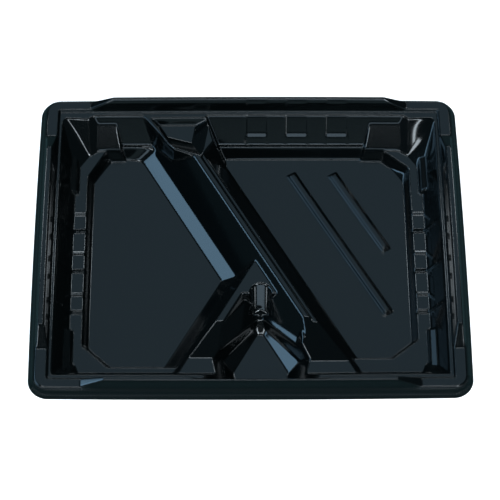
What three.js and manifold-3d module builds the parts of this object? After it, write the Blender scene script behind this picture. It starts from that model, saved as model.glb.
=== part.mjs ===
// A thermoformed plastic compartment tray: one thin sheet drawn into two large compartments and a
// small sauce pocket, with a raised lid ridge on each side and a turned-down skirt all round.
// Millimetres, +X right, +Y to the rear, +Z up. The origin is under the middle of the flat floors.
// The sheet is cut along narrow seams into its formed zones, and each zone is one named mesh.
import * as THREE from "three";
import { mergeVertices } from "three/addons/utils/BufferGeometryUtils.js";
import Module from "manifold-3d";

const wasm = await Module();
wasm.setup();

// Driving dimensions.
const WIDTH = 254;
const DEPTH = 203;
const SHEET = 0.6;
const SEAM = 0.3;
const CORNER_RADIUS = 11.5;
const CORNER_STEPS = 6;

// Heights of the upper surface above the table.
const FLOOR_Z = SHEET;
const PAD_Z = 8;
const FRONT_PAD_Z = 14;
const POCKET_TOP_Z = 19;
const SEAT_Z = 23.5;
const FLANGE_Z = 25.3;
const RIDGE_Z = 32;
const SKIRT_Z = 18.8;
const RIB_Z = 2.8;
const ABOVE = 60;
const BELOW = -10;

// Distances inward from the outer edge of the skirt.
const SKIRT_IN = 4.2;
const RIDGE_FOOT_IN = 4.4;
const SEAT_SIDE_IN = 11.5;
const SEAT_END_IN = 10.7;
const WALL_TOP_IN = 13.4;
const SIDE_PAD_IN = 22;

// Plan positions.
const RIDGE_END_X = 97;
const RIDGE_END_Y = 72.5;
const FLOOR_X = 94.8;
const GUSSET_X = 97.5;
const GUSSET_Y = 68.4;
const WALL_FOOT_REAR_Y = 76.4;
const FLOOR_REAR_Y = 70.7;
const FLOOR_LEFT_FRONT_Y = -72.8;
const FLOOR_RIGHT_FRONT_Y = -67.4;
const FRONT_PAD_Y = -72.5;
const FRONT_Y = -84.5;
const BRANCH_END_Y = -51.3;
const POCKET_X = 6;
const POCKET_REAR_Y = -27;
const POCKET_REAR = { y: -37, z: 9 };
const POCKET_LEDGE = { y: -37.5, z: 7.2 };
const POCKET_RISER = { out: 13.8, y: -56.5, z: 11.6 };
const BENCH = { out: 9.5, y: -46.8, z: 11 };
const POCKET_TIP_Y = -52.6;
const FUNNEL = { x: 6.2, y: -42.8, z: 9, radius: 6.2 };
const POCKET_FRONT_Y = -82;
const RIB_WIDTH = 5.6;

// Slopes from the horizontal, in degrees.
const SKIRT_SLOPE = 57.1;
const RIDGE_SLOPE = 83;
const SEAT_SLOPE = 73;
const SIDE_WALL_SLOPE = 62;
const END_WALL_SLOPE = 53;
const GUSSET_SLOPE = 46;
const FLANK_SLOPE = 34.7;
const FRONT_CORNER_SLOPE = 50;
const FOOT_SLOPE = 68;
const END_FOOT_SLOPE = 59;
const CHAMFER_SLOPE = 37;
const DIVIDER_LEFT_SLOPE = 48;
const BRANCH_LEFT_SLOPE = 58;
const DIVIDER_RIGHT_SLOPE = 58;
const RIB_SLOPE = 60;
const POCKET_FLOOR_SLOPE = 36;
const POCKET_RISER_SLOPE = 68;
const POCKET_TIP_SLOPE = 30;
const POCKET_LEDGE_SLOPE = 12;
const POCKET_REAR_SLOPE = 70;
const BENCH_SLOPE = 40;

// The divider runs along this direction, and across is its level normal to the right and rear.
const ALONG = new THREE.Vector2(0.5, -Math.sqrt(3) / 2);
const ACROSS_DEG = 30;
const BRANCH_DEG = 150;
// Distances across the divider from the tray's middle.
const LEFT_FLOOR_EDGE = -22;
const CREST_LEFT = 1;
const CREST_RIGHT = 6;
const POCKET_FOOT_EDGE = -19;
// Distances across the front branch, measured to the left and rear.
const BRANCH_FLOOR_EDGE = 7;
const BRANCH_TOP_LEFT = -8.2;
const BRANCH_TOP_RIGHT = -12.4;

const rad = THREE.MathUtils.degToRad;

/* ---------- solids ---------- */

// A closed three.js geometry as a solid.
function solidOf(geometry) {
  geometry.deleteAttribute("normal");
  geometry.deleteAttribute("uv");
  const merged = mergeVertices(geometry, 1e-4);
  return new wasm.Manifold(
    new wasm.Mesh({
      numProp: 3,
      vertProperties: merged.attributes.position.array,
      triVerts: new Uint32Array(merged.index.array),
    }),
  );
}

function prism(points, low, high) {
  const shape = new THREE.Shape(points.map(([x, y]) => new THREE.Vector2(x, y)));
  const geometry = new THREE.ExtrudeGeometry(shape, {
    depth: high - low,
    bevelEnabled: false,
  });
  return solidOf(geometry.translate(0, 0, low));
}

const union = (solids) => solids.reduce((whole, solid) => whole.add(solid));

// A plane through a plan point at height z. It slopes up and away from the side that faces
// headingDeg, and that side is kept.
function wall([x, y], headingDeg, slopeDeg, z) {
  const level = Math.sin(rad(slopeDeg));
  const normal = [
    Math.cos(rad(headingDeg)) * level,
    Math.sin(rad(headingDeg)) * level,
    Math.cos(rad(slopeDeg)),
  ];
  return { normal, offset: normal[0] * x + normal[1] * y + normal[2] * z };
}

// The same plane seen from the solid side: what lies below the slope is kept.
function face([x, y], headingDeg, slopeDeg, z) {
  const { normal, offset } = wall([x, y], headingDeg, slopeDeg, z);
  return { normal: normal.map((n) => -n), offset: -offset };
}

const floorAt = (z) => ({ normal: [0, 0, 1], offset: z });
const topAt = (z) => ({ normal: [0, 0, -1], offset: -z });

// The convex solid inside all the planes, each moved outward by grow.
function within(planes, grow) {
  const size = 2 * WIDTH;
  const start = new THREE.BoxGeometry(size, size, ABOVE - BELOW);
  start.translate(0, 0, (ABOVE + BELOW) / 2);
  return planes.reduce(
    (solid, { normal, offset }) => solid.trimByPlane(normal, offset - grow),
    solidOf(start),
  );
}

// A point at a distance along and across a line through the origin.
function pointAcross(headingDeg, distance) {
  return [Math.cos(rad(headingDeg)) * distance, Math.sin(rad(headingDeg)) * distance];
}

/* ---------- the rim ---------- */

function roundedOutline(inset) {
  const radius = Math.max(CORNER_RADIUS - inset, 1);
  const x = WIDTH / 2 - inset - radius;
  const y = DEPTH / 2 - inset - radius;
  const centres = [[x, y], [-x, y], [-x, -y], [x, -y]];
  return centres.flatMap(([cx, cy], corner) =>
    Array.from({ length: CORNER_STEPS + 1 }, (_, step) => {
      const angle = ((corner + step / CORNER_STEPS) * Math.PI) / 2;
      return [cx + radius * Math.cos(angle), cy + radius * Math.sin(angle)];
    }),
  );
}

// A solid between two outlines with the same number of points.
function loft(lower, lowZ, upper, highZ) {
  const count = lower.length;
  const ring = (points, z) => points.flatMap(([x, y]) => [x, y, z]);
  const positions = [...ring(lower, lowZ), ...ring(upper, highZ)];
  const index = [];
  for (let i = 0; i < count; i++) {
    const next = (i + 1) % count;
    index.push(i, next, count + next, i, count + next, count + i);
  }
  for (let i = 1; i < count - 1; i++) {
    index.push(0, i + 1, i, count, count + i, count + i + 1);
  }
  const geometry = new THREE.BufferGeometry();
  geometry.setAttribute("position", new THREE.Float32BufferAttribute(positions, 3));
  geometry.setIndex(index);
  return solidOf(geometry);
}

// The block under the rim's surface, moved inward by inset along each face's normal.
function rimBlock(inset) {
  const shift = inset / Math.sin(rad(SKIRT_SLOPE));
  const outline = roundedOutline(shift);
  return union([
    prism(outline, BELOW, SKIRT_Z),
    loft(outline, SKIRT_Z, roundedOutline(SKIRT_IN + shift), FLANGE_Z - inset),
    ...ridges(inset),
  ]);
}

// A raised ridge on each side, with ramps down to the corner flanges.
function ridges(inset) {
  const rampX = 25;
  const rampY = 29;
  const sides = [
    { heading: 0, edge: WIDTH / 2, end: RIDGE_END_Y, ramp: rampY, seat: SEAT_SIDE_IN },
    { heading: 90, edge: DEPTH / 2, end: RIDGE_END_X, ramp: rampX, seat: SEAT_END_IN },
    { heading: 180, edge: WIDTH / 2, end: RIDGE_END_Y, ramp: rampY, seat: SEAT_SIDE_IN },
    { heading: 270, edge: DEPTH / 2, end: RIDGE_END_X, ramp: rampX, seat: SEAT_END_IN },
  ];
  return sides.map(({ heading, edge, end, ramp, seat }) =>
    within(
      [
        face(pointAcross(heading, edge - RIDGE_FOOT_IN), heading, RIDGE_SLOPE, FLANGE_Z),
        face(pointAcross(heading, edge - seat - 1), heading + 180, 89, FLANGE_Z),
        face(pointAcross(heading + 90, end), heading + 90, ramp, FLANGE_Z),
        face(pointAcross(heading - 90, end), heading - 90, ramp, FLANGE_Z),
        floorAt(SKIRT_Z - 2),
        topAt(RIDGE_Z),
      ],
      -inset,
    ),
  );
}

/* ---------- the compartments ---------- */

const left = (x) => [-x, 0];
const right = (x) => [x, 0];
const rear = (y) => [0, y];

// The four outer walls that every compartment shares, and the sloped gussets in the corners.
function outerWalls() {
  const x = WIDTH / 2 - WALL_TOP_IN;
  const y = DEPTH / 2 - WALL_TOP_IN;
  return {
    left: wall(left(x), 0, SIDE_WALL_SLOPE, SEAT_Z),
    right: wall(right(x), 180, SIDE_WALL_SLOPE, SEAT_Z),
    rear: wall(rear(y), 270, END_WALL_SLOPE, SEAT_Z),
    front: wall(rear(-y), 90, SIDE_WALL_SLOPE, SEAT_Z),
    rearLeftFlank: wall([-GUSSET_X, GUSSET_Y], -34, FLANK_SLOPE, PAD_Z),
    rearLeftGusset: wall([-GUSSET_X, GUSSET_Y], -56.5, GUSSET_SLOPE, PAD_Z),
    rearRightFlank: wall([GUSSET_X, GUSSET_Y], 214, FLANK_SLOPE, PAD_Z),
    rearRightGusset: wall([GUSSET_X, GUSSET_Y], 236.5, GUSSET_SLOPE, PAD_Z),
    frontLeft: wall([-x, -y], 50, FRONT_CORNER_SLOPE, SEAT_Z),
    frontRight: wall([x, -y], 130, FRONT_CORNER_SLOPE, SEAT_Z),
  };
}

// The seat for the lid, just inside the ridges.
function seatCavity(grow) {
  const x = WIDTH / 2 - SEAT_SIDE_IN;
  const y = DEPTH / 2 - SEAT_END_IN;
  return within(
    [
      floorAt(SEAT_Z),
      wall(left(x), 0, SEAT_SLOPE, SEAT_Z),
      wall(right(x), 180, SEAT_SLOPE, SEAT_Z),
      wall(rear(y), 270, SEAT_SLOPE, SEAT_Z),
      wall(rear(-y), 90, SEAT_SLOPE, SEAT_Z),
    ],
    grow,
  );
}

const dividerLeft = () =>
  wall(pointAcross(ACROSS_DEG, CREST_LEFT), ACROSS_DEG + 180, DIVIDER_LEFT_SLOPE, SEAT_Z);
const dividerChamfer = () =>
  wall(pointAcross(ACROSS_DEG, LEFT_FLOOR_EDGE), ACROSS_DEG + 180, CHAMFER_SLOPE, FLOOR_Z);
const dividerRight = () =>
  wall(pointAcross(ACROSS_DEG, CREST_RIGHT), ACROSS_DEG, DIVIDER_RIGHT_SLOPE, SEAT_Z);
const branchLeft = () =>
  wall(pointAcross(BRANCH_DEG, BRANCH_TOP_LEFT), BRANCH_DEG, BRANCH_LEFT_SLOPE, POCKET_TOP_Z);
const branchChamfer = () =>
  wall(pointAcross(BRANCH_DEG, BRANCH_FLOOR_EDGE), BRANCH_DEG, CHAMFER_SLOPE, FLOOR_Z);
const branchRight = () =>
  wall(pointAcross(BRANCH_DEG, BRANCH_TOP_RIGHT), BRANCH_DEG + 180, DIVIDER_RIGHT_SLOPE, POCKET_TOP_Z);

// The feet of the walls round each large floor, in order round it.
const leftFeet = () => [
  wall(left(FLOOR_X), 0, FOOT_SLOPE, FLOOR_Z),
  wall([-FLOOR_X, 53.5], -30, FOOT_SLOPE, FLOOR_Z),
  wall(rear(FLOOR_REAR_Y), 270, END_FOOT_SLOPE, FLOOR_Z),
  dividerChamfer(),
  branchChamfer(),
  wall(rear(FLOOR_LEFT_FRONT_Y), 90, FOOT_SLOPE, FLOOR_Z),
  wall([-FLOOR_X, -60.5], 47, FOOT_SLOPE, FLOOR_Z),
];
const rightFeet = () => [
  dividerRight(),
  wall(rear(FLOOR_REAR_Y), 270, END_FOOT_SLOPE, FLOOR_Z),
  wall([FLOOR_X, 58.5], 231, FOOT_SLOPE, FLOOR_Z),
  wall(right(FLOOR_X), 180, FOOT_SLOPE, FLOOR_Z),
  wall([FLOOR_X, -57], 129, FOOT_SLOPE, FLOOR_Z),
  wall(rear(FLOOR_RIGHT_FRONT_Y), 90, FOOT_SLOPE, FLOOR_Z),
];

function leftCompartment(grow) {
  const outer = outerWalls();
  const corners = [outer.rearLeftFlank, outer.rearLeftGusset, outer.frontLeft];
  const upper = [outer.left, outer.rear, outer.front, ...corners];
  const level = [...upper, dividerLeft(), branchLeft()];
  return [
    within([floorAt(PAD_Z), ...level], grow),
    within([floorAt(FLOOR_Z), ...leftFeet(), ...level], grow),
  ];
}

function rightCompartment(grow) {
  const outer = outerWalls();
  const corners = [outer.rearRightFlank, outer.rearRightGusset, outer.frontRight];
  const upper = [outer.right, outer.rear, outer.front, ...corners];
  const level = [...upper, dividerRight()];
  return [
    within([floorAt(PAD_Z), ...level], grow),
    within([floorAt(FLOOR_Z), ...rightFeet(), ...level], grow),
  ];
}

// The round-ended channel that leans back from the pocket's ledge, as tangent planes.
function funnel(grow, ledge) {
  const { x, y, z, radius } = FUNNEL;
  const tangents = [30, 50, 70, 90, 110, 130, 150].map((deg) => {
    const slope = THREE.MathUtils.radToDeg(Math.atan(1 / Math.sin(rad(deg))));
    const [dx, dy] = pointAcross(deg, radius);
    return wall([x + dx, y + dy], deg + 180, slope, z);
  });
  return within([ledge, ...tangents, wall([x, y], 90, 70, POCKET_LEDGE.z)], grow);
}

// The small pocket between the divider and its front branch: a funnel at the rear, a ledge with a
// bench each side, and a V-shaped floor open to the front.
function saucePocket(grow) {
  const foot = pointAcross(ACROSS_DEG, POCKET_FOOT_EDGE);
  const mirrored = [2 * POCKET_X - foot[0], foot[1]];
  const ledge = wall([POCKET_X, POCKET_LEDGE.y], 270, POCKET_LEDGE_SLOPE, POCKET_LEDGE.z);
  const front = [
    wall([-22.2, FRONT_PAD_Y], 12, 50, FRONT_PAD_Z),
    wall([34.8, FRONT_PAD_Y], 165, 50, FRONT_PAD_Z),
    wall(rear(POCKET_FRONT_Y), 90, FOOT_SLOPE, FLOOR_Z),
  ];
  const upper = [
    wall([POCKET_X, POCKET_REAR.y], 270, POCKET_REAR_SLOPE, POCKET_REAR.z),
    dividerLeft(),
    branchRight(),
    wall([-15.9, BRANCH_END_Y], -16, 57, POCKET_TOP_Z),
    wall([31.6, BRANCH_END_Y], 188, 57, SEAT_Z),
  ];
  const vee = [
    wall(foot, ACROSS_DEG + 180, POCKET_FLOOR_SLOPE, FLOOR_Z),
    wall(mirrored, -ACROSS_DEG, POCKET_FLOOR_SLOPE, FLOOR_Z),
    wall([POCKET_X, POCKET_TIP_Y], 270, POCKET_TIP_SLOPE, FLOOR_Z),
  ];
  const onBothSides = ({ out, y, z }, headingFromFront, slope) =>
    [-1, 1].map((side) => wall([POCKET_X + side * out, y], 270 - side * headingFromFront, slope, z));
  const risers = onBothSides(POCKET_RISER, 53, POCKET_RISER_SLOPE);
  const benches = onBothSides(BENCH, 65, BENCH_SLOPE);
  return [
    within([floorAt(FLOOR_Z), ledge, ...benches, ...upper, ...front], grow),
    within([floorAt(FLOOR_Z), ...vee, ...risers, ...front], grow),
    funnel(grow, ledge),
  ];
}

// The levels that the divider's branch and both front ends are lowered to.
function loweredTops(grow) {
  const outer = Object.values(outerWalls());
  const end = [0, BRANCH_END_Y];
  const middle = [POCKET_X, 0];
  return [
    within([floorAt(POCKET_TOP_Z), dividerLeft(), ...outer], grow),
    within(
      [floorAt(FRONT_PAD_Z), wall(end, 270, 13, POCKET_TOP_Z), wall(middle, 180, 90, 0), ...outer],
      grow,
    ),
    within(
      [floorAt(FRONT_PAD_Z), wall(end, 270, 22, SEAT_Z), wall(middle, 0, 90, 0), ...outer],
      grow,
    ),
  ];
}

// The corners of a rib's foot, set out from it by margin.
function ribOutline({ from, length }, margin) {
  const start = new THREE.Vector2(...from).addScaledVector(ALONG, -margin);
  const end = start.clone().addScaledVector(ALONG, length + 2 * margin);
  const side = new THREE.Vector2(-ALONG.y, ALONG.x).multiplyScalar(RIB_WIDTH / 2 + margin);
  return [
    start.clone().add(side),
    start.clone().sub(side),
    end.clone().sub(side),
    end.clone().add(side),
  ].map((point) => point.toArray());
}

// A flat-topped stiffening rib on the right floor, along the divider's direction.
function rib(size, inset) {
  const heading = ACROSS_DEG - 90;
  const [startLeft, startRight, endRight] = ribOutline(size, 0);
  return within(
    [
      face(startLeft, ACROSS_DEG, RIB_SLOPE, FLOOR_Z),
      face(startRight, ACROSS_DEG + 180, RIB_SLOPE, FLOOR_Z),
      face(startRight, heading + 180, RIB_SLOPE, FLOOR_Z),
      face(endRight, heading, RIB_SLOPE, FLOOR_Z),
      floorAt(BELOW / 2),
      topAt(RIB_Z),
    ],
    -inset,
  );
}

// The wide rear end of the divider, level with the seat.
function rearBlock(inset) {
  return within(
    [
      face([-54, 74.7], 219, 80, SEAT_Z),
      face([-40, 62], 245, 76, SEAT_Z),
      face([-23.5, 77], 14, 74, SEAT_Z),
      face([-25.4, 64.3], -35, 70, SEAT_Z),
      face([0, 90], 90, 90, 0),
      floorAt(BELOW / 2),
      topAt(SEAT_Z),
    ],
    -inset,
  );
}

// The shelf pressed down into the divider's wide rear end.
function rearShelf(grow) {
  return within(
    [
      floorAt(POCKET_TOP_Z),
      wall([-48.3, 72.4], 31, 58, POCKET_TOP_Z),
      wall([-38, 71.8], 74, 25, POCKET_TOP_Z),
      wall([-33.8, 78], 170, 27, POCKET_TOP_Z),
      wall([-44, 83.6], 270, 60, POCKET_TOP_Z),
    ],
    grow,
  );
}

/* ---------- the sheet ---------- */

const RIBS = [
  { from: [26, 59.6], length: 112 },
  { from: [51.3, 59.6], length: 62 },
];

// Everything under the sheet's upper surface, or under its lower surface when inset is SHEET.
function underSurface(inset) {
  const hollows = union([
    seatCavity(inset),
    ...leftCompartment(inset),
    ...rightCompartment(inset),
    ...saucePocket(inset),
    ...loweredTops(inset),
  ]);
  const bumps = [...RIBS.map((each) => rib(each, inset)), rearBlock(inset)];
  return union([rimBlock(inset).subtract(hollows), ...bumps]).subtract(rearShelf(inset));
}

function makeSheet() {
  const skirtGap = prism(roundedOutline(-5), BELOW, SKIRT_Z).subtract(
    prism(roundedOutline(SKIRT_IN), BELOW, SKIRT_Z),
  );
  return underSurface(0).subtract(underSurface(SHEET)).subtract(skirtGap);
}

/* ---------- the zones ---------- */

// Where two planes cross at height z.
function crossing(one, other, z) {
  const [a, b, c] = one.normal;
  const [d, e, f] = other.normal;
  const p = one.offset - c * z;
  const q = other.offset - f * z;
  const scale = a * e - b * d;
  return [(p * e - b * q) / scale, (a * q - p * d) / scale];
}

const floorRing = (feet) =>
  feet.map((foot, i) => crossing(foot, feet[(i + 1) % feet.length], FLOOR_Z));

// A straight seam between two plan points.
function seam([x0, y0], [x1, y1]) {
  const length = Math.hypot(x1 - x0, y1 - y0);
  const geometry = new THREE.BoxGeometry(length + SEAM, SEAM, 2 * ABOVE);
  geometry.rotateZ(Math.atan2(y1 - y0, x1 - x0));
  geometry.translate((x0 + x1) / 2, (y0 + y1) / 2, 0);
  return solidOf(geometry);
}

const path = (points) => points.slice(1).map((point, i) => seam(points[i], point));
const ring = (points) => path([...points, points[0]]);

// The seams between the zones, as plan lines along the creases of the sheet.
function seams() {
  const [leftFoot, rearLeft, rearDivider, tip, branchFoot, frontLeft, leftFront] = floorRing(
    leftFeet(),
  );
  const [rearCorner, rearRight, rightRear, rightFront, frontRight, frontCorner] = floorRing(
    rightFeet(),
  );
  const seatX = WIDTH / 2 - SEAT_SIDE_IN;
  const seatY = DEPTH / 2 - SEAT_END_IN;
  const padX = WIDTH / 2 - SIDE_PAD_IN;
  const padRow = (x, top) => seam([x, -63.2], [x, top]);
  const corners = [
    [leftFoot, [-seatX, 62]],
    [rearLeft, [-93, seatY]],
    [leftFront, [-seatX, -66]],
    [frontLeft, [-90, -seatY]],
    [rearRight, [88, seatY]],
    [rightRear, [seatX, 64]],
    [rightFront, [seatX, -64]],
    [frontRight, [88, -seatY]],
  ];
  const rimEnds = [-1, 1].flatMap((sx) =>
    [-1, 1].flatMap((sy) => [
      seam([sx * RIDGE_END_X, sy * seatY], [sx * RIDGE_END_X, sy * (DEPTH / 2 + 2)]),
      seam([sx * seatX, sy * RIDGE_END_Y], [sx * (WIDTH / 2 + 2), sy * RIDGE_END_Y]),
    ]),
  );
  const crestRear = [-32, 57.5];
  const blockRight = [-18.5, 72.5];
  const block = [[-69, seatY], [-47, 63.2], crestRear, blockRight, [-20, seatY]];
  const crestLeft = [crestRear, [30.8, BRANCH_END_Y], [34.8, FRONT_PAD_Y], [31.3, FRONT_Y]];
  const crestRight = [[-28.8, 61.9], [36.5, BRANCH_END_Y], [55.6, FRONT_PAD_Y], [62.5, FRONT_Y]];
  const apex = crossing(dividerLeft(), branchLeft(), POCKET_TOP_Z);
  const chamferEnd = [-8.5, -15.1];
  const branchLeftEdge = [apex, [-20.2, BRANCH_END_Y], [-36, FRONT_PAD_Y], [-43, FRONT_Y]];
  const pocketRight = [12, POCKET_REAR_Y];
  const pocketLeft = [-1.3, POCKET_REAR_Y];
  const branchRightEdge = [
    pocketLeft,
    [-15.3, BRANCH_END_Y],
    [-22.2, FRONT_PAD_Y],
    [-19.7, FRONT_Y],
  ];
  const pocketFoot = [
    [-14.7, FRONT_Y],
    [-15.6, -72.6],
    [1, -42.6],
    [10.6, -42.6],
    [27.6, -72.6],
    [24, FRONT_Y],
  ];
  const chamferTop = [[-61.3, WALL_FOOT_REAR_Y], chamferEnd];
  return [
    ...ring([[seatX, seatY], [-seatX, seatY], [-seatX, -seatY], [seatX, -seatY]]),
    ...rimEnds,
    ...corners.map(([from, to]) => seam(from, to)),
    ...ring(floorRing(leftFeet())),
    ...ring(floorRing(rightFeet())),
    padRow(-padX, 58),
    padRow(padX, 61.4),
    ...path(block),
    ...path([rearDivider, chamferTop[0], [-58.7, 80]]),
    ...path(chamferTop),
    ...path([tip, chamferEnd, apex]),
    ...path(crestLeft),
    ...path(crestRight),
    seam(crestLeft[1], crestRight[1]),
    seam(blockRight, rearCorner),
    ...path(branchLeftEdge),
    ...path(branchRightEdge),
    seam(branchLeftEdge[1], branchRightEdge[1]),
    ...path([pocketLeft, pocketRight, apex]),
    seam(pocketRight, [15.5, -25]),
    ...path(pocketFoot),
    seam(pocketFoot[2], pocketLeft),
    seam(pocketFoot[3], pocketRight),
    ...RIBS.flatMap((each) => ring(ribOutline(each, SEAM))),
    ...path([branchFoot, [branchFoot[0], FRONT_Y], [branchFoot[0], -seatY]]),
    ...path([frontCorner, [frontCorner[0], FRONT_Y], [frontCorner[0], -seatY]]),
    seam([branchFoot[0], FRONT_Y], [frontCorner[0], FRONT_Y]),
  ];
}

// Each zone's name, with a plan point inside it.
const ZONES = {
  left_floor: [-60, 0],
  right_floor: [80, 40],
  long_floor_rib: [54, 11],
  short_floor_rib: [66, 34],
  divider_foot: [-32.9, 20],
  divider_left_wall: [-19.6, 20],
  divider_crest: [4, 0],
  divider_right_wall: [25.4, -20],
  branch_left_wall: [-25, -45],
  branch_top: [3, -20],
  pocket_floor: [5, -65],
  pocket_rear_wall: [4, -32],
  pocket_left_wall: [-12, -52],
  pocket_right_wall: [17, -46],
  front_left_pad: [-28, -78],
  front_right_pad: [45, -78],
  rear_block: [-40, 78],
  left_wall: [-110, 0],
  left_pad_row: [-100, 0],
  right_wall: [110, 0],
  right_pad_row: [100, 0],
  rear_left_wall: [-75, 80],
  rear_right_wall: [30, 80],
  front_left_wall: [-68, -82],
  front_middle_wall: [0, -88],
  front_right_wall: [75, -80],
  rear_left_corner_wall: [-103, 71],
  rear_right_corner_wall: [98, 72],
  front_left_corner_wall: [-100, -75],
  front_right_corner_wall: [102, -72],
  left_lid_ridge: [-121, 0],
  right_lid_ridge: [121, 0],
  rear_lid_ridge: [0, 96],
  front_lid_ridge: [0, -96],
  rear_left_flange: [-121, 86],
  rear_right_flange: [121, 86],
  front_left_flange: [-121, -86],
  front_right_flange: [121, -86],
};

const plastic = new THREE.MeshStandardMaterial({
  color: 0x0c1012,
  roughness: 0.12,
  metalness: 0,
});

// The separate body that stands over or under a plan point.
function bodyAt(bodies, [x, y]) {
  const reach = 0.2;
  const corners = [[-1, -1], [1, -1], [1, 1], [-1, 1]];
  const rod = prism(corners.map(([u, v]) => [x + u * reach, y + v * reach]), BELOW, ABOVE);
  return bodies.find((body) => body.intersect(rod).volume() > 0);
}

function meshOf(name, solid) {
  const { numProp, vertProperties, triVerts } = solid.getMesh();
  const geometry = new THREE.BufferGeometry();
  const buffer = new THREE.InterleavedBuffer(vertProperties, numProp);
  geometry.setAttribute("position", new THREE.InterleavedBufferAttribute(buffer, 3, 0));
  geometry.setIndex(new THREE.BufferAttribute(triVerts, 1));
  const mesh = new THREE.Mesh(geometry, plastic);
  mesh.name = name;
  return mesh;
}

const tray = new THREE.Group();
const bodies = seams()
  .reduce((sheet, each) => sheet.subtract(each), makeSheet())
  .decompose();
for (const [name, place] of Object.entries(ZONES)) {
  tray.add(meshOf(name, bodyAt(bodies, place)));
}

export default tray;
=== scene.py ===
"""A glossy black thermoformed compartment tray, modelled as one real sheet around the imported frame.

The tray's upper surface is worked out as a height over the plan, from the planes that its mould is cut
to. It is rounded, given its fine ribs and teeth, and parted into one closed sheet for each CAD node.
Lengths are millimetres until a mesh, lamp or camera is made, and angles are degrees.
"""
import math

import bpy
import numpy as np
from mathutils import Matrix, Vector
from mathutils.bvhtree import BVHTree


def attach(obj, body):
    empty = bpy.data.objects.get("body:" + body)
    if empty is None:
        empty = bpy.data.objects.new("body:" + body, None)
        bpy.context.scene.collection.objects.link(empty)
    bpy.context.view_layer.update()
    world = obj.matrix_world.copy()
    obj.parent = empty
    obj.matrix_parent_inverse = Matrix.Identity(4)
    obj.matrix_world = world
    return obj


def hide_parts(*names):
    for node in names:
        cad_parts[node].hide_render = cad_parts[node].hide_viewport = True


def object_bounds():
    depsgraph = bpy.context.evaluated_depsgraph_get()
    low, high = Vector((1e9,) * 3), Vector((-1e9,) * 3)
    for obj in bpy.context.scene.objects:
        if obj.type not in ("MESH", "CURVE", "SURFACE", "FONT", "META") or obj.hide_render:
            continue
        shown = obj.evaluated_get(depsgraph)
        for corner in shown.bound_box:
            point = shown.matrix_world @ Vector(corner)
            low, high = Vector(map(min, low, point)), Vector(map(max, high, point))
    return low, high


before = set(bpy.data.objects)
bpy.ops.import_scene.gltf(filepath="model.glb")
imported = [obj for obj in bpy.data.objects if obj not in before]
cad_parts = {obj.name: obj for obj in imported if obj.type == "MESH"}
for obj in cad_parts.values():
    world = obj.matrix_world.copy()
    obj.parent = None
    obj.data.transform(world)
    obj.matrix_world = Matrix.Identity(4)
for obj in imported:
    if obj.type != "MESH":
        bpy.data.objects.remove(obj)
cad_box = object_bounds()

MM = 0.001
LOW, HIGH = ([float(c) / MM for c in corner] for corner in cad_box)

# The outline, from the frame.
HALF_X = (HIGH[0] - LOW[0]) / 2
HALF_Y = (HIGH[1] - LOW[1]) / 2
RIDGE_Z = HIGH[2]
SHEET = 0.6
CORNER_RADIUS = 11.5
BOW = 0.9

# Heights of the upper surface.
FLOOR_Z = SHEET
RIB_Z = 2.8
PAD_Z = 8.0
FRONT_PAD_Z = 14.0
SKIRT_Z = 18.8
POCKET_TOP_Z = 19.0
CREST_STEP_Z = 22.3
SEAT_Z = 23.5
FLANGE_Z = 25.3

# Distances inward from the outer edge of the skirt.
SKIRT_IN = 4.2
RIDGE_FOOT_IN = 4.4
SEAT_SIDE_IN = 11.5
SEAT_END_IN = 10.7
WALL_TOP_IN = 13.4

# Places on the plan.
RIDGE_END_X, RIDGE_END_Y = HALF_X - 30, HALF_Y - 29
FLOOR_X = 94.8
FLOOR_REAR_Y = 70.7
FLOOR_LEFT_FRONT_Y = -72.8
FLOOR_RIGHT_FRONT_Y = -67.4
FRONT_PAD_Y = -72.5
BRANCH_END_Y = -51.3
POCKET_X, POCKET_FRONT_Y = 6.0, -82.0
FUNNEL_X, FUNNEL_Y, FUNNEL_RADIUS = 6.2, -42.8, 6.2
VEE_Y, VEE_RADIUS = -53.4, 2.5
PADS_REAR_Y, PADS_FRONT_Y = 41.0, -52.2
STEP_X, STEP_REAR_Y, STEP_RISE = 103.2, 72.2, 2.2
GROOVES_Y = (15.2, -12.4, -40.0)
STRIPS_Y = (27.2, 0.0, -28.0)
FLUTES_X = (-1.6, 11.4, 22.5, 36.1, 47.2, 60.7)

# The divider runs from the rear left to the front right. Across it is the heading of its level normal.
ACROSS = 30.0
BRANCH_ACROSS = 150.0
LEFT_FLOOR_EDGE = -22.0
CREST_LEFT, CREST_RIGHT, CREST_STEP_RIGHT = 1.0, 4.0, 6.7
POCKET_FOOT_EDGE = -19.0
BRANCH_FLOOR_EDGE, BRANCH_TOP_LEFT, BRANCH_TOP_RIGHT = 7.0, -8.2, -12.4

# Slopes, in degrees from level.
RIDGE_OUTER_SLOPE, RIDGE_INNER_SLOPE = 83, 80
RIDGE_SIDE_RAMP, RIDGE_END_RAMP = 29, 25
SEAT_EDGE_SLOPE = 73
WALL_SLOPE, REAR_WALL_SLOPE = 62, 53
FOOT_SLOPE, REAR_FOOT_SLOPE = 68, 59
CHAMFER_SLOPE = 37
CREST_LEFT_SLOPE, CREST_RIGHT_SLOPE, CREST_FOOT_SLOPE = 48, 75, 58
BRANCH_SLOPE, BRANCH_END_SLOPE = 58, 57
VEE_SLOPE, RISER_SLOPE, BENCH_SLOPE, LEDGE_SLOPE = 36, 68, 40, 12
POCKET_REAR_SLOPE, POCKET_SIDE_SLOPE = 70, 50
RIB_SLOPE = 60

# The ridges' inner edge, the ribs' half width, and the ribs' rear ends with their lengths.
RIDGE_INNER_IN = 14
RIB_HALF_WIDTH = 2.8
RIBS = (((26, 59.6), 112), ((51.3, 59.6), 62))

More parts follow.
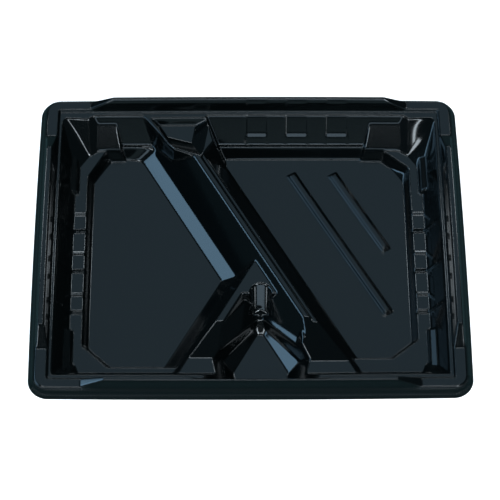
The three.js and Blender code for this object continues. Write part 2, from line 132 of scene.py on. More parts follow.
# The relief of the walls and the pads.
SIDE_FLUTE_HALF_WIDTH, SIDE_FLUTE_DEPTH = 0.9, 1.1
REAR_FLUTE_HALF_WIDTH, REAR_FLUTE_DEPTH = 0.7, 0.7
PANEL_DEPTH = 0.4
PAD_GAP_HALF_WIDTH, GROOVE_STEEPNESS, STRIP_RISE = 1.1, 1.2, 0.35

# How finely the height is worked out and how far past the outline, how far its creases are rounded, and
# the mesh's steps.
RASTER = 0.25
MARGIN = 2
ROUNDING = 0.42
GRID = 0.6
TOOTH = 1.755
TEETH_STEPS = 6
TEETH_IN = (0.95, 3.0)
TEETH_HALF_WIDTH = 1.0
TEETH_HEIGHT = 0.42

# The plastic: its colour, its roughness, and its slight waves with their depth in millimetres.
PLASTIC_COLOUR = (0.0015, 0.0025, 0.0027, 1)
PLASTIC_ROUGHNESS = 0.1
WAVES_PER_METRE, WAVE_STRENGTH, WAVE_DEPTH = 60, 0.25, 0.05

# The camera: its angles above the table, turned and rolled, what it looks at and how far off it is, in
# millimetres, its lens in millimetres, and how far it sees in metres.
CAMERA_ANGLES = (60, 1.303, 1.015)
CAMERA_TARGET = (0.24, -0.24, 12)
CAMERA_DISTANCE = 1192
FOCAL_LENGTH, SENSOR_WIDTH = 144, 36
CLIP_END = 20

# The set, in metres.
FLOOR_HALF_SIZE = 3.0
BACKDROP_RADIUS, BACKDROP_HEIGHT, BACKDROP_SIDES = 2.9, 3.0, 48

# The world's light, as the gloss sees it.
LIGHT_FROM_ABOVE = (0.03, 0.045, 0.055, 1)
LIGHT_FROM_BELOW = (0.06, 0.13, 0.15, 1)

# The lamps: name, heading, height in degrees, distance and size in metres, radiance and colour.
COOL, PALE = (0.39, 0.7, 1.0), (0.8, 0.92, 1.0)
LAMPS = (
    ("left_softbox", 180, 29, 1.6, (1.3, 0.52), 4.3, COOL),
    ("rear_panel", 90, 60, 2.0, (1.6, 1.2), 0.58, (0.52, 0.79, 1.0)),
    ("front_panel", 270, 9, 2.0, (2.2, 0.75), 0.26, (0.62, 0.9, 1.0)),
    ("front_strip", 270, 29, 1.9, (2.2, 0.24), 2.2, (0.6, 0.82, 1.0)),
    ("front_left_spot", 229, 47, 1.6, (0.3, 0.4), 10, PALE),
    ("front_right_spot", 306, 47, 1.6, (0.26, 0.26), 24, PALE),
    ("rear_left_spot", 138, 41, 1.6, (0.16, 0.16), 18, PALE),
    ("rear_right_spot", 42, 41, 1.6, (0.16, 0.16), 18, PALE),
    ("front_high_strip", 270, 51, 1.6, (1.0, 0.1), 12, PALE),
    ("left_rear_softbox", 152, 33, 1.6, (0.45, 0.5), 1.3, COOL),
    ("left_horizon_strip", 222, 10, 1.8, (0.35, 0.45), 4, PALE),
    ("right_horizon_strip", 318, 10, 1.8, (0.35, 0.45), 4, PALE),
    ("high_strip", 90, 80, 1.6, (0.9, 0.1), 9, PALE),
    ("low_rear_strip", 90, 34, 1.8, (1.0, 0.1), 10, PALE),
)

X, Y = np.meshgrid(
    np.arange(-HALF_X - MARGIN, HALF_X + MARGIN + RASTER / 2, RASTER),
    np.arange(-HALF_Y - MARGIN, HALF_Y + MARGIN + RASTER / 2, RASTER),
    indexing="ij",
)


# ---------- the height of the upper surface ----------


def lowest(*surfaces):
    return np.minimum.reduce(np.broadcast_arrays(*surfaces))


def highest(*surfaces):
    return np.maximum.reduce(np.broadcast_arrays(*surfaces))


def plane(point, heading, slope, z):
    """The height of a plane through a plan point at height z that falls towards a heading."""
    turn = math.radians(heading)
    away = (X - point[0]) * math.cos(turn) + (Y - point[1]) * math.sin(turn)
    return z - math.tan(math.radians(slope)) * away


def across(heading, distance):
    turn = math.radians(heading)
    return (math.cos(turn) * distance, math.sin(turn) * distance)


def soft_highest(first, second, reach):
    """The higher of two surfaces, with their valley filled where they are within reach in height."""
    near = np.maximum(reach - np.abs(first - second), 0)
    return np.maximum(first, second) + near**2 / (4 * np.maximum(reach, 1e-6))


def inset(x, y):
    """The distance inward from the rounded outline."""
    over_x = np.abs(x) - (HALF_X - CORNER_RADIUS)
    over_y = np.abs(y) - (HALF_Y - CORNER_RADIUS)
    outside = np.hypot(np.maximum(over_x, 0), np.maximum(over_y, 0))
    return CORNER_RADIUS - outside - np.minimum(np.maximum(over_x, over_y), 0)


def rim():
    """The skirt, the flange and the four ridges, with ramps at the ridges' ends."""
    inward = inset(X, Y)
    skirt = SKIRT_Z + inward * (FLANGE_Z - SKIRT_Z) / SKIRT_IN
    ridges = []
    for heading, edge, end, ramp in (
        (0, HALF_X, RIDGE_END_Y, RIDGE_SIDE_RAMP),
        (90, HALF_Y, RIDGE_END_X, RIDGE_END_RAMP),
        (180, HALF_X, RIDGE_END_Y, RIDGE_SIDE_RAMP),
        (270, HALF_Y, RIDGE_END_X, RIDGE_END_RAMP),
    ):
        ridges.append(
            lowest(
                plane(across(heading, edge - RIDGE_FOOT_IN), heading, RIDGE_OUTER_SLOPE, FLANGE_Z),
                plane(across(heading, edge - RIDGE_INNER_IN), heading + 180, RIDGE_INNER_SLOPE, FLANGE_Z),
                plane(across(heading + 90, end), heading + 90, ramp, FLANGE_Z),
                plane(across(heading - 90, end), heading - 90, ramp, FLANGE_Z),
                RIDGE_Z,
            )
        )
    return np.where(inward < SKIRT_IN, skirt, highest(FLANGE_Z, *ridges))


def seat():
    x, y = HALF_X - SEAT_SIDE_IN, HALF_Y - SEAT_END_IN
    return highest(
        SEAT_Z,
        plane((-x, 0), 0, SEAT_EDGE_SLOPE, SEAT_Z),
        plane((x, 0), 180, SEAT_EDGE_SLOPE, SEAT_Z),
        plane((0, y), 270, SEAT_EDGE_SLOPE, SEAT_Z),
        plane((0, -y), 90, SEAT_EDGE_SLOPE, SEAT_Z),
    )


def lens(start, end, most):
    """How far a valley between two plan points is filled: nothing at its ends and most midway."""
    along = np.array(end) - np.array(start)
    share = ((X - start[0]) * along[0] + (Y - start[1]) * along[1]) / (along @ along)
    return most * np.clip(4 * share * (1 - share), 0.02, 1)


def bump(distance, half_width):
    """One at no distance, falling to nothing at the half width."""
    return np.clip(1 - (distance / half_width) ** 2, 0, 1)


def side_wall(side):
    """A long side wall with a flute over each groove, and a low step inward beyond its row of pads."""
    heading = 90 + 90 * side
    x = side * (HALF_X - WALL_TOP_IN)
    wall = plane((x, 0), heading, WALL_SLOPE, SEAT_Z)
    flutes = sum(bump(Y - groove, SIDE_FLUTE_HALF_WIDTH) for groove in GROOVES_Y)
    flutes = flutes * np.clip((SEAT_Z - 2 - wall) / 3, 0, 1)
    step = lowest(
        plane((side * STEP_X, 0), heading, 72, PAD_Z),
        plane((side * STEP_X, 0), heading, 30, PAD_Z + STEP_RISE),
        highest(plane((0, PADS_REAR_Y), 270, 78, PAD_Z), plane((0, PADS_FRONT_Y), 90, 78, PAD_Z)),
    )
    return highest(wall + SIDE_FLUTE_DEPTH * flutes, step)


def rear_wall():
    """The rear wall: flutes between shallow panels in its middle, and its ends set forward."""
    y = HALF_Y - WALL_TOP_IN
    wall = plane((0, y), 270, REAR_WALL_SLOPE, SEAT_Z)
    flutes = sum(bump(X - flute, REAR_FLUTE_HALF_WIDTH) for flute in FLUTES_X)
    panels = sum((X > start) & (X < end) for start, end in zip(FLUTES_X[::2], FLUTES_X[1::2]))
    upper = np.clip((wall - 12.5) / 1.5, 0, 1)
    above_foot = np.clip((wall - PAD_Z + 1) / 3, 0, 1)
    middle = wall + REAR_FLUTE_DEPTH * flutes * above_foot - PANEL_DEPTH * panels * upper
    step = lowest(
        plane((0, STEP_REAR_Y), 270, 68, PAD_Z),
        plane((0, STEP_REAR_Y), 270, 40, PAD_Z + 0.6),
        highest(plane((71, 0), 180, 74, PAD_Z), plane((-78, 0), 0, 74, PAD_Z)),
    )
    return highest(middle, step)


def rear_corner(side, fill):
    """A gusset that stands out from the rear wall, and the flank beside it. Their valley is filled."""
    foot, top = (side * 97.5, 68.4), (side * 112.2, 87)
    gusset = plane(foot, 270 + 4 * side, 41.8, PAD_Z)
    edge = plane(foot, 270 - 33.5 * side, 46, PAD_Z)
    flank = plane(foot, 270 - 56 * side, 34.7, PAD_Z)
    return soft_highest(lowest(gusset, edge), flank, lens(foot, top, fill))


def front_corner(side):
    """Two facets that meet in a ridge from the seat's corner down to the corner pad."""
    foot = (side * 101.5, -74.5)
    return lowest(
        plane(foot, 90 + 20 * side, 40, PAD_Z),
        plane(foot, 90 + 70 * side, 56, PAD_Z),
    )


def outer_walls():
    x, y = HALF_X - WALL_TOP_IN, HALF_Y - WALL_TOP_IN
    return {
        "left": side_wall(-1),
        "right": side_wall(1),
        "rear": rear_wall(),
        "front": plane((0, -y), 90, WALL_SLOPE, SEAT_Z),
        "rear_left": rear_corner(-1, 1.3),
        "rear_right": rear_corner(1, 6.5),
        "front_left": front_corner(-1),
        "front_right": front_corner(1),
    }


def pads():
    """The level of the pads along the sides, with a groove or a fine raised strip between them."""
    grooves = sum(np.clip(PAD_GAP_HALF_WIDTH - np.abs(Y - groove), 0, 0.8) for groove in GROOVES_Y)
    strips = sum(np.clip(PAD_GAP_HALF_WIDTH - np.abs(Y - strip), 0, STRIP_RISE) for strip in STRIPS_Y)
    return PAD_Z - GROOVE_STEEPNESS * grooves + strips


def divider_left():
    return plane(across(ACROSS, CREST_LEFT), ACROSS + 180, CREST_LEFT_SLOPE, SEAT_Z)


def divider_right():
    """The divider's right face, with a narrow step just below its crest."""
    return highest(
        plane(across(ACROSS, CREST_RIGHT), ACROSS, CREST_RIGHT_SLOPE, SEAT_Z),
        lowest(CREST_STEP_Z, plane(across(ACROSS, CREST_STEP_RIGHT), ACROSS, CREST_FOOT_SLOPE, CREST_STEP_Z)),
    )


def left_compartment():
    walls = outer_walls()
    upper = [walls[name] for name in ("left", "rear", "front", "rear_left", "front_left")]
    branch = plane(across(BRANCH_ACROSS, BRANCH_TOP_LEFT), BRANCH_ACROSS, BRANCH_SLOPE, POCKET_TOP_Z)
    level = highest(*upper, divider_left(), branch)
    chamfer = plane(across(ACROSS, LEFT_FLOOR_EDGE), ACROSS + 180, CHAMFER_SLOPE, FLOOR_Z)
    feet = highest(
        FLOOR_Z,
        plane((-FLOOR_X, 0), 0, FOOT_SLOPE, FLOOR_Z),
        plane((-FLOOR_X, 53.5), -30, FOOT_SLOPE, FLOOR_Z),
        soft_highest(plane((0, FLOOR_REAR_Y), 270, REAR_FOOT_SLOPE, FLOOR_Z), chamfer, 7.0),
        plane(across(BRANCH_ACROSS, BRANCH_FLOOR_EDGE), BRANCH_ACROSS, CHAMFER_SLOPE, FLOOR_Z),
        plane((0, FLOOR_LEFT_FRONT_Y), 90, FOOT_SLOPE, FLOOR_Z),
        plane((-FLOOR_X, -60.5), 47, FOOT_SLOPE, FLOOR_Z),
    )
    return lowest(highest(level, pads()), highest(level, feet))


def right_compartment():
    walls = outer_walls()
    upper = [walls[name] for name in ("right", "rear", "front", "rear_right", "front_right")]
    level = highest(*upper, divider_right())
    feet = highest(
        FLOOR_Z,
        plane((0, FLOOR_REAR_Y), 270, REAR_FOOT_SLOPE, FLOOR_Z),
        plane((FLOOR_X, 58.5), 231, FOOT_SLOPE, FLOOR_Z),
        plane((FLOOR_X, 0), 180, FOOT_SLOPE, FLOOR_Z),
        plane((FLOOR_X, -57), 129, FOOT_SLOPE, FLOOR_Z),
        plane((0, FLOOR_RIGHT_FRONT_Y), 90, FOOT_SLOPE, FLOOR_Z),
    )
    return lowest(highest(level, pads()), highest(level, feet))


def funnel():
    """A round-ended channel that leans back from the ledge to the branch's top."""
    aside = np.clip(np.abs(X - FUNNEL_X), 0, FUNNEL_RADIUS - 0.01)
    steep = 40 * np.maximum(np.abs(X - FUNNEL_X) - FUNNEL_RADIUS, 0)
    return 9 + Y - FUNNEL_Y - np.sqrt(FUNNEL_RADIUS**2 - aside**2) + steep


def vee():
    """The V-shaped floor with a rounded tip, and the slope that rises from it."""
    foot = across(ACROSS, POCKET_FOOT_EDGE)
    sides = highest(
        plane(foot, ACROSS + 180, VEE_SLOPE, FLOOR_Z),
        plane((2 * POCKET_X - foot[0], foot[1]), -ACROSS, VEE_SLOPE, FLOOR_Z),
    )
    away_x, away_y = X - POCKET_X, Y - VEE_Y
    tip = FLOOR_Z + (np.hypot(away_x, away_y) - VEE_RADIUS) * math.tan(math.radians(VEE_SLOPE))
    behind = away_y > np.abs(away_x) * math.tan(math.radians(ACROSS))
    return highest(FLOOR_Z, np.where(behind, tip, sides))


def sauce_pocket():
    """The funnel at the rear, a ledge with a bench each side, and a V-shaped floor."""
    ledge = plane((POCKET_X, -37.5), 270, LEDGE_SLOPE, 7.2)
    front = highest(
        plane((-22.2, FRONT_PAD_Y), 12, POCKET_SIDE_SLOPE, FRONT_PAD_Z),
        plane((34.8, FRONT_PAD_Y), 165, POCKET_SIDE_SLOPE, FRONT_PAD_Z),
        plane((0, POCKET_FRONT_Y), 90, FOOT_SLOPE, FLOOR_Z),
    )
    walls = highest(
        front,
        plane((POCKET_X, -37), 270, POCKET_REAR_SLOPE, 9.0),
        divider_left(),
        plane(across(BRANCH_ACROSS, BRANCH_TOP_RIGHT), BRANCH_ACROSS + 180, BRANCH_SLOPE, POCKET_TOP_Z),
        plane((-15.9, BRANCH_END_Y), -16, BRANCH_END_SLOPE, POCKET_TOP_Z),
        plane((31.6, BRANCH_END_Y), 188, BRANCH_END_SLOPE, SEAT_Z),
    )
    risers, benches = [], []
    for side in (-1, 1):
        risers.append(plane((POCKET_X + 13.8 * side, -56.5), 270 - 53 * side, RISER_SLOPE, 11.6))
        benches.append(plane((POCKET_X + 9.5 * side, -46.8), 270 - 65 * side, BENCH_SLOPE, 11.0))
    cap = highest(FLOOR_Z, ledge, *benches)
    return lowest(
        highest(walls, cap),
        highest(front, vee(), *risers),
        highest(funnel(), ledge, plane((0, -42), 90, POCKET_REAR_SLOPE, 7.0)),
    )


def lowered_tops():
    """The levels of the branch's top and of the two front pads, with the facets down to them."""
    walls = highest(*outer_walls().values())
    end = (0, BRANCH_END_Y)
    left_half = plane((POCKET_X, 0), 180, 89.9, 0)
    right_half = plane((POCKET_X, 0), 0, 89.9, 0)
    return lowest(
        highest(POCKET_TOP_Z, divider_left(), walls),
        highest(FRONT_PAD_Z, plane(end, 270, 13, POCKET_TOP_Z), left_half, walls),
        highest(FRONT_PAD_Z, plane(end, 270, 22, SEAT_Z), right_half, walls),
    )


def floor_rib(start, length):
    heading = ACROSS - 90
    along = across(heading, 1)
    side = across(ACROSS, RIB_HALF_WIDTH)
    end = (start[0] + along[0] * length, start[1] + along[1] * length)
    return lowest(
        RIB_Z,
        plane((start[0] + side[0], start[1] + side[1]), ACROSS, RIB_SLOPE, FLOOR_Z),
        plane((start[0] - side[0], start[1] - side[1]), ACROSS + 180, RIB_SLOPE, FLOOR_Z),
        plane(start, heading + 180, RIB_SLOPE, FLOOR_Z),
        plane(end, heading, RIB_SLOPE, FLOOR_Z),
    )


def rear_block():
    """The wide rear end of the divider, level with the seat."""
    return lowest(
        SEAT_Z,
        plane((-54, 74.7), 219, 80, SEAT_Z),
        plane((-40, 62), 245, 76, SEAT_Z),
        plane((-23.5, 77), 14, 74, SEAT_Z),
        plane((-25.4, 64.3), -35, 70, SEAT_Z),
        plane((0, 88.5), 90, 80, SEAT_Z),
    )


def rear_shelf():
    """The shelf pressed down into the divider's wide end. It rises past the seat all round."""
    return highest(
        POCKET_TOP_Z,
        plane((-48.3, 72.4), 31, 58, POCKET_TOP_Z),
        plane((-38, 71.8), 74, 25, POCKET_TOP_Z),
        plane((-33.8, 78), 170, 27, POCKET_TOP_Z),
        plane((-44, 83.6), 270, 60, POCKET_TOP_Z),
    )


def rounded(surface, reach):
    """The surface with every crease rounded over about that distance."""
    steps = np.arange(-math.ceil(3 * reach / RASTER), math.ceil(3 * reach / RASTER) + 1)
    weights = np.exp(-0.5 * (steps * RASTER / reach) ** 2)
    weights /= weights.sum()
    for axis in (0, 1):
        padding = [(0, 0), (0, 0)]
        padding[axis] = (len(steps) // 2,) * 2
        padded = np.pad(surface, padding, mode="edge")
        count = surface.shape[axis]
        surface = sum(
            weight * np.take(padded, range(i, i + count), axis=axis)
            for i, weight in enumerate(weights)
        )
    return surface


def upper_surface():
    hollows = lowest(seat(), left_compartment(), right_compartment(), sauce_pocket(), lowered_tops())
    sharp = highest(
        lowest(rim(), hollows),
        *(floor_rib(start, length) for start, length in RIBS),
        rear_block(),
    )
    return rounded(lowest(sharp, rear_shelf()), ROUNDING)


HEIGHT = upper_surface()
SLOPE_X, SLOPE_Y = np.gradient(HEIGHT, RASTER)


def read(values, x, y):
    """A raster's value between its points."""
    u = (x - X[0, 0]) / RASTER
    v = (y - Y[0, 0]) / RASTER
    i = np.clip(u.astype(int), 0, X.shape[0] - 2)
    j = np.clip(v.astype(int), 0, X.shape[1] - 2)
    u, v = u - i, v - j
    near = values[i, j] * (1 - u) + values[i + 1, j] * u
    far = values[i, j + 1] * (1 - u) + values[i + 1, j + 1] * u
    return near * (1 - v) + far * v


# ---------- the mesh over the plan ----------


def quads(rows, columns):
    """The faces of a grid of points stored row by row."""
    i, j = np.meshgrid(np.arange(rows - 1), np.arange(columns - 1), indexing="ij")
    first = (i * columns + j).ravel()
    return np.stack([first, first + columns, first + columns + 1, first + 1], axis=1)


def stations(length, step):
    return np.linspace(0, length, max(2, round(length / step) + 1))


def inner_grid():
    """A plain grid over everything inside the ridges' feet."""
    x, y = HALF_X - CORNER_RADIUS, HALF_Y - CORNER_RADIUS
    xs, ys = stations(2 * x, GRID) - x, stations(2 * y, GRID) - y
    gx, gy = np.meshgrid(xs, ys, indexing="ij")
    return np.stack([gx.ravel(), gy.ravel()], axis=1), quads(len(xs), len(ys))


def perimeter(step):
    """Points round the straight inner rectangle, each with the outward direction there."""
    x, y = HALF_X - CORNER_RADIUS, HALF_Y - CORNER_RADIUS
    arc_steps = max(4, round(CORNER_RADIUS * math.pi / 2 / step))
    points, outward = [], []
    corners = [(x, -y), (x, y), (-x, y), (-x, -y)]
    for side in range(4):
        start, end = np.array(corners[side]), np.array(corners[(side + 1) % 4])
        for share in stations(np.linalg.norm(end - start), step)[:-1] / np.linalg.norm(end - start):
            points.append(start + (end - start) * share)
            outward.append(across(90 * side, 1))
        for turn in np.arange(arc_steps) * 90 / arc_steps:
            points.append(end)
            outward.append(across(90 * side + turn, 1))
    points.append(points[0])
    outward.append(outward[0])
    return np.array(points), np.array(outward)


def strip(step, insets):
    """A band round the rim between the given distances from its outer edge."""
    points, outward = perimeter(step)
    reach = CORNER_RADIUS - np.asarray(insets)
    plan = points[:, None] + outward[:, None] * reach[None, :, None]
    return plan.reshape(-1, 2), quads(len(points), len(insets))


def node_finder():
    """A function that gives the CAD node over a plan point, as its place in the list of names."""
    names = sorted(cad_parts)
    corners, faces, owner = [], [], []
    for index, name in enumerate(names):
        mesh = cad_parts[name].data
        mesh.calc_loop_triangles()
        base = len(corners)
        corners.extend(vertex.co / MM for vertex in mesh.vertices)
        faces.extend([base + v for v in triangle.vertices] for triangle in mesh.loop_triangles)
        owner.extend([index] * len(mesh.loop_triangles))
    tree = BVHTree.FromPolygons(corners, faces)
    down = Vector((0, 0, -1))

    def find(x, y):
        face = tree.ray_cast(Vector((x, y, 2 * RIDGE_Z)), down)[2]
        if face is None:
            z = float(read(HEIGHT, np.array([x]), np.array([y]))[0])
            face = tree.find_nearest(Vector((x, y, z)))[2]
        return owner[face]

    return names, find


def straightened(plan, faces, zones, rounds=8):
    """The plan with the steps taken out of the lines between zones."""
    starts = faces.ravel()
    ends = np.roll(faces, -1, axis=1).ravel()
    owners = np.repeat(zones, 4)
    keys = np.minimum(starts, ends) * len(plan) + np.maximum(starts, ends)
    order = np.argsort(keys, kind="stable")
    keys, owners = keys[order], owners[order]
    pair = np.flatnonzero((keys[1:] == keys[:-1]) & (owners[1:] != owners[:-1]))
    a, b = keys[pair] // len(plan), keys[pair] % len(plan)
    degree = np.bincount(np.r_[a, b], minlength=len(plan))
    loose = degree == 2
    for _ in range(rounds):
        total = np.zeros_like(plan)
        np.add.at(total, a, plan[b])
        np.add.at(total, b, plan[a])
        plan = np.where(loose[:, None], (plan + total) / 3, plan)
    return plan


def bowed(x, y):
    """The plan with its four sides bowed out a little."""
    out_x = BOW * (np.abs(x) / HALF_X) ** 3 * (1 - (y / HALF_Y) ** 2)
    out_y = BOW * (np.abs(y) / HALF_Y) ** 3 * (1 - (x / HALF_X) ** 2)
    return x + np.sign(x) * out_x, y + np.sign(y) * out_y


def teeth(plan):
    """How far the two rows of fine teeth stand out from the skirt at each of its points."""
    inward = inset(*plan.T)
    rows = sum(bump(inward - middle, TEETH_HALF_WIDTH) for middle in TEETH_IN)
    count = len(perimeter(TOOTH / TEETH_STEPS)[0])
    index = np.arange(len(plan)) // (len(plan) // count)
    return TEETH_HEIGHT * rows * (0.5 + 0.5 * np.cos(index * 2 * math.pi / TEETH_STEPS))


def toothed(points, normals, plan, across_count):
    """The skirt's points pushed out along their normals by its teeth, with the new normals."""
    points = points + normals * teeth(plan)[:, None]
    grid = points.reshape(-1, across_count, 3)
    closed = np.concatenate([grid[-2:-1], grid, grid[1:2]])
    along = closed[2:] - closed[:-2]
    inward = np.gradient(grid, axis=1)
    normals = np.cross(inward, along).reshape(-1, 3)
    normals *= np.sign(normals[:, 2:])
    return points, normals / np.maximum(np.linalg.norm(normals, axis=1), 1e-9)[:, None]


def patches():
    """Each patch of the upper surface: its points, their normals, its faces and the faces' zones."""
    names, find = node_finder()
    skirt_steps = np.linspace(0, SKIRT_IN, 15)
    ridge_steps = np.arange(SKIRT_IN, 6.0, 0.15)
    seat_steps = np.arange(6.0, CORNER_RADIUS - 0.3, 0.35)
    rim_steps = np.r_[ridge_steps, seat_steps, CORNER_RADIUS]
    for kind, (plan, faces) in (
        ("inner", inner_grid()),
        ("rim", strip(GRID, rim_steps)),
        ("skirt", strip(TOOTH / TEETH_STEPS, skirt_steps)),
    ):
        middle = plan[faces].mean(axis=1)
        zones = np.array([find(float(x), float(y)) for x, y in middle])
        if kind == "inner":
            plan = straightened(plan, faces, zones)
        x, y = plan.T
        normals = np.stack([-read(SLOPE_X, x, y), -read(SLOPE_Y, x, y), np.ones(len(x))], axis=1)
        normals /= np.linalg.norm(normals, axis=1)[:, None]
        points = np.stack([*bowed(x, y), read(HEIGHT, x, y)], axis=1)
        if kind == "skirt":
            points, normals = toothed(points, normals, plan, len(skirt_steps))
        yield names, points, normals, faces, zones


def sheet_of(points, normals, faces):
    """A closed sheet under some faces: its points, its faces' corners and the corners' normals."""
    used, local = np.unique(faces, return_inverse=True)
    faces = local.reshape(faces.shape)
    top, up = points[used], normals[used]
    count = len(used)
    starts, ends = faces.ravel(), np.roll(faces, -1, axis=1).ravel()
    edges = starts * count + ends
    open_edge = ~np.isin(edges, ends * count + starts) & (starts != ends)
    a, b = starts[open_edge], ends[open_edge]
    sides = np.stack([b, a, a + count, b + count], axis=1)
    along = top[b] - top[a]
    out = np.cross(along, up[a])
    out /= np.maximum(np.linalg.norm(out, axis=1), 1e-9)[:, None]
    corners = np.concatenate([faces, faces[:, ::-1] + count, sides])
    corner_normals = np.concatenate([up[faces], -up[faces[:, ::-1]], np.repeat(out[:, None], 4, axis=1)])
    return np.concatenate([top, top - up * SHEET]), corners, corner_normals


def mesh_of(name, parts, material):
    """One object from several closed sheets."""
    points, loops, starts, loop_normals = [], [], [], []
    base = corner = 0
    for part_points, faces, normals in parts:
        keep = faces != np.roll(faces, 1, axis=1)
        sizes = keep.sum(axis=1)
        keep &= (sizes >= 3)[:, None]
        sizes = sizes[sizes >= 3]
        points.append(part_points)
        loops.append(faces[keep] + base)
        loop_normals.append(normals[keep])
        starts.append(corner + np.r_[0, np.cumsum(sizes)[:-1]])
        base += len(part_points)
        corner += int(sizes.sum())
    mesh = bpy.data.meshes.new(name)
    points = np.concatenate(points) * MM
    mesh.vertices.add(len(points))
    mesh.vertices.foreach_set("co", points.astype(np.float32).ravel())
    mesh.loops.add(corner)
    mesh.loops.foreach_set("vertex_index", np.concatenate(loops).astype(np.int32))
    starts = np.concatenate(starts)
    mesh.polygons.add(len(starts))
    mesh.polygons.foreach_set("loop_start", starts.astype(np.int32))
    mesh.polygons.foreach_set("use_smooth", np.ones(len(starts), bool))
    mesh.update(calc_edges=True)
    mesh.normals_split_custom_set(np.concatenate(loop_normals).tolist())
    mesh.materials.append(material)
    piece = bpy.data.objects.new(name, mesh)
    bpy.context.scene.collection.objects.link(piece)
    return piece


def make_tray(material):
    parts = {}
    for names, points, normals, faces, zones in patches():
        for zone in np.unique(zones):
            sheet = sheet_of(points, normals, faces[zones == zone])
            parts.setdefault(names[zone], []).append(sheet)
    for name, sheets in parts.items():
        piece = mesh_of(name + "_skin", sheets, material)
        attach(piece, "root")
        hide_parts(name)


# ---------- materials ----------


def gloss_plastic():
    """Glossy black sheet with the slight waviness that forming leaves."""
    material = bpy.data.materials.new("black_gloss_sheet")
    material.use_nodes = True
    nodes, links = material.node_tree.nodes, material.node_tree.links
    shader = nodes["Principled BSDF"]
    shader.inputs["Base Color"].default_value = PLASTIC_COLOUR
    shader.inputs["Roughness"].default_value = PLASTIC_ROUGHNESS
    shader.inputs["IOR"].default_value = 1.5
    place = nodes.new("ShaderNodeTexCoord")
    wave = nodes.new("ShaderNodeTexNoise")
    wave.inputs["Scale"].default_value = WAVES_PER_METRE
    wave.inputs["Detail"].default_value = 2
    links.new(place.outputs["Object"], wave.inputs["Vector"])
    relief = nodes.new("ShaderNodeBump")
    relief.inputs["Strength"].default_value = WAVE_STRENGTH
    relief.inputs["Distance"].default_value = WAVE_DEPTH * MM
    links.new(wave.outputs["Fac"], relief.inputs["Height"])
    links.new(relief.outputs["Normal"], shader.inputs["Normal"])
    return material


def pale_floor():
    material = bpy.data.materials.new("pale_floor")
    material.use_nodes = True
    shader = material.node_tree.nodes["Principled BSDF"]
    shader.inputs["Base Color"].default_value = (0.9, 0.9, 0.9, 1)
    shader.inputs["Roughness"].default_value = 0.9
    shader.inputs["Specular IOR Level"].default_value = 0
    shader.inputs["Emission Color"].default_value = (1, 1, 1, 1)
    shader.inputs["Emission Strength"].default_value = 1.0
    return material


# ---------- the studio ----------


def stage_piece(name, points, faces, material):
    """A piece of the set, kept out of the tray's own gloss."""
    mesh = bpy.data.meshes.new(name)
    mesh.from_pydata(points, [], faces)
    mesh.materials.append(material)
    piece = bpy.data.objects.new(name, mesh)
    piece.visible_glossy = False
    bpy.context.scene.collection.objects.link(piece)
    return piece


def make_floor(material):
    half = FLOOR_HALF_SIZE
    corners = [(-half, -half, 0), (half, -half, 0), (half, half, 0), (-half, half, 0)]
    stage_piece("floor", corners, [(0, 1, 2, 3)], material)


def make_backdrop(material):
    """A pale cylinder round the table, so that low views have a plain background."""
    sides = BACKDROP_SIDES
    ring = [across(360 / sides * i, BACKDROP_RADIUS) for i in range(sides)]
    points = [(x, y, z) for z in (-0.01, BACKDROP_HEIGHT) for x, y in ring]
    faces = [(i, (i + 1) % sides, (i + 1) % sides + sides, i + sides) for i in range(sides)]
    backdrop = stage_piece("backdrop", points, faces, material)
    backdrop.visible_diffuse = False
    backdrop.visible_shadow = False


def look_from(place, target):
    """A matrix at place whose -Z axis points at target."""
    back = (Vector(place) - Vector(target)).normalized()
    right = Vector((0, 0, 1)).cross(back).normalized()
    up = back.cross(right)
    return Matrix.Translation(place) @ Matrix((right, up, back)).transposed().to_4x4()


def softbox(name, heading, height, distance, size, radiance, colour):
    """A soft light at a heading and height seen from the tray, with an even radiance."""
    turn, rise = math.radians(heading), math.radians(height)
    level = math.cos(rise)
    toward = Vector((math.cos(turn) * level, math.sin(turn) * level, math.sin(rise)))
    lamp = bpy.data.lights.new(name, "AREA")
    lamp.shape = "RECTANGLE"
    lamp.size, lamp.size_y = size
    lamp.energy = radiance * math.pi * size[0] * size[1]
    lamp.color = colour
    holder = bpy.data.objects.new(name, lamp)
    holder.matrix_world = look_from(toward * distance, (0, 0, 0))
    holder.visible_camera = False
    bpy.context.scene.collection.objects.link(holder)


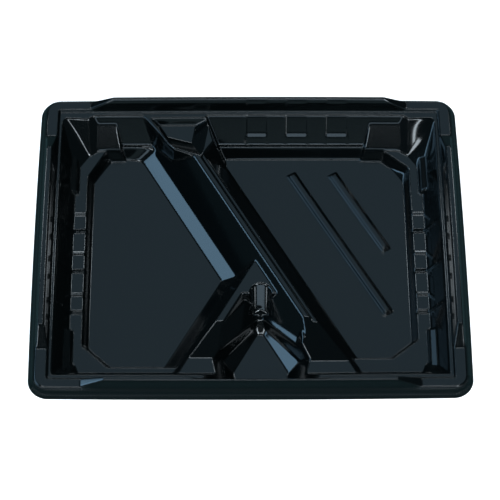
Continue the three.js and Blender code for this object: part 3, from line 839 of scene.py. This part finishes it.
def make_lights():
    for lamp in LAMPS:
        softbox(*lamp)


def make_world():
    """A dim light from above that turns to a stronger teal below the horizon."""
    world = bpy.data.worlds.new("studio")
    bpy.context.scene.world = world
    world.use_nodes = True
    nodes, links = world.node_tree.nodes, world.node_tree.links
    place = nodes.new("ShaderNodeTexCoord")
    parts = nodes.new("ShaderNodeSeparateXYZ")
    links.new(place.outputs["Generated"], parts.inputs["Vector"])
    blend = nodes.new("ShaderNodeMapRange")
    blend.inputs["From Min"].default_value = -0.15
    blend.inputs["From Max"].default_value = 0.25
    links.new(parts.outputs["Z"], blend.inputs["Value"])
    shade = nodes.new("ShaderNodeMix")
    shade.data_type = "RGBA"
    shade.inputs["A"].default_value = LIGHT_FROM_BELOW
    shade.inputs["B"].default_value = LIGHT_FROM_ABOVE
    links.new(blend.outputs["Result"], shade.inputs["Factor"])
    links.new(shade.outputs["Result"], nodes["Background"].inputs["Color"])


def make_camera():
    """The photograph's viewpoint, steeply above the table and turned and rolled by about one degree."""
    rise, turn, roll = (math.radians(angle) for angle in CAMERA_ANGLES)
    level = math.cos(rise)
    forward = Vector((math.sin(turn) * level, math.cos(turn) * level, -math.sin(rise)))
    right = Vector((math.cos(turn), -math.sin(turn), 0))
    up = right.cross(forward)
    rolled_right = right * math.cos(roll) + up * math.sin(roll)
    rolled_up = up * math.cos(roll) - right * math.sin(roll)
    place = (Vector(CAMERA_TARGET) - forward * CAMERA_DISTANCE) * MM
    camera = bpy.data.cameras.new("camera")
    camera.lens = FOCAL_LENGTH
    camera.sensor_width = SENSOR_WIDTH
    camera.clip_end = CLIP_END
    holder = bpy.data.objects.new("camera", camera)
    facing = Matrix((rolled_right, rolled_up, -forward)).transposed().to_4x4()
    holder.matrix_world = Matrix.Translation(place) @ facing
    bpy.context.scene.collection.objects.link(holder)
    bpy.context.scene.camera = holder


make_camera()
make_lights()
make_world()
pale = pale_floor()
make_floor(pale)
make_backdrop(pale)
bpy.context.scene.view_settings.view_transform = "Standard"
make_tray(gloss_plastic())
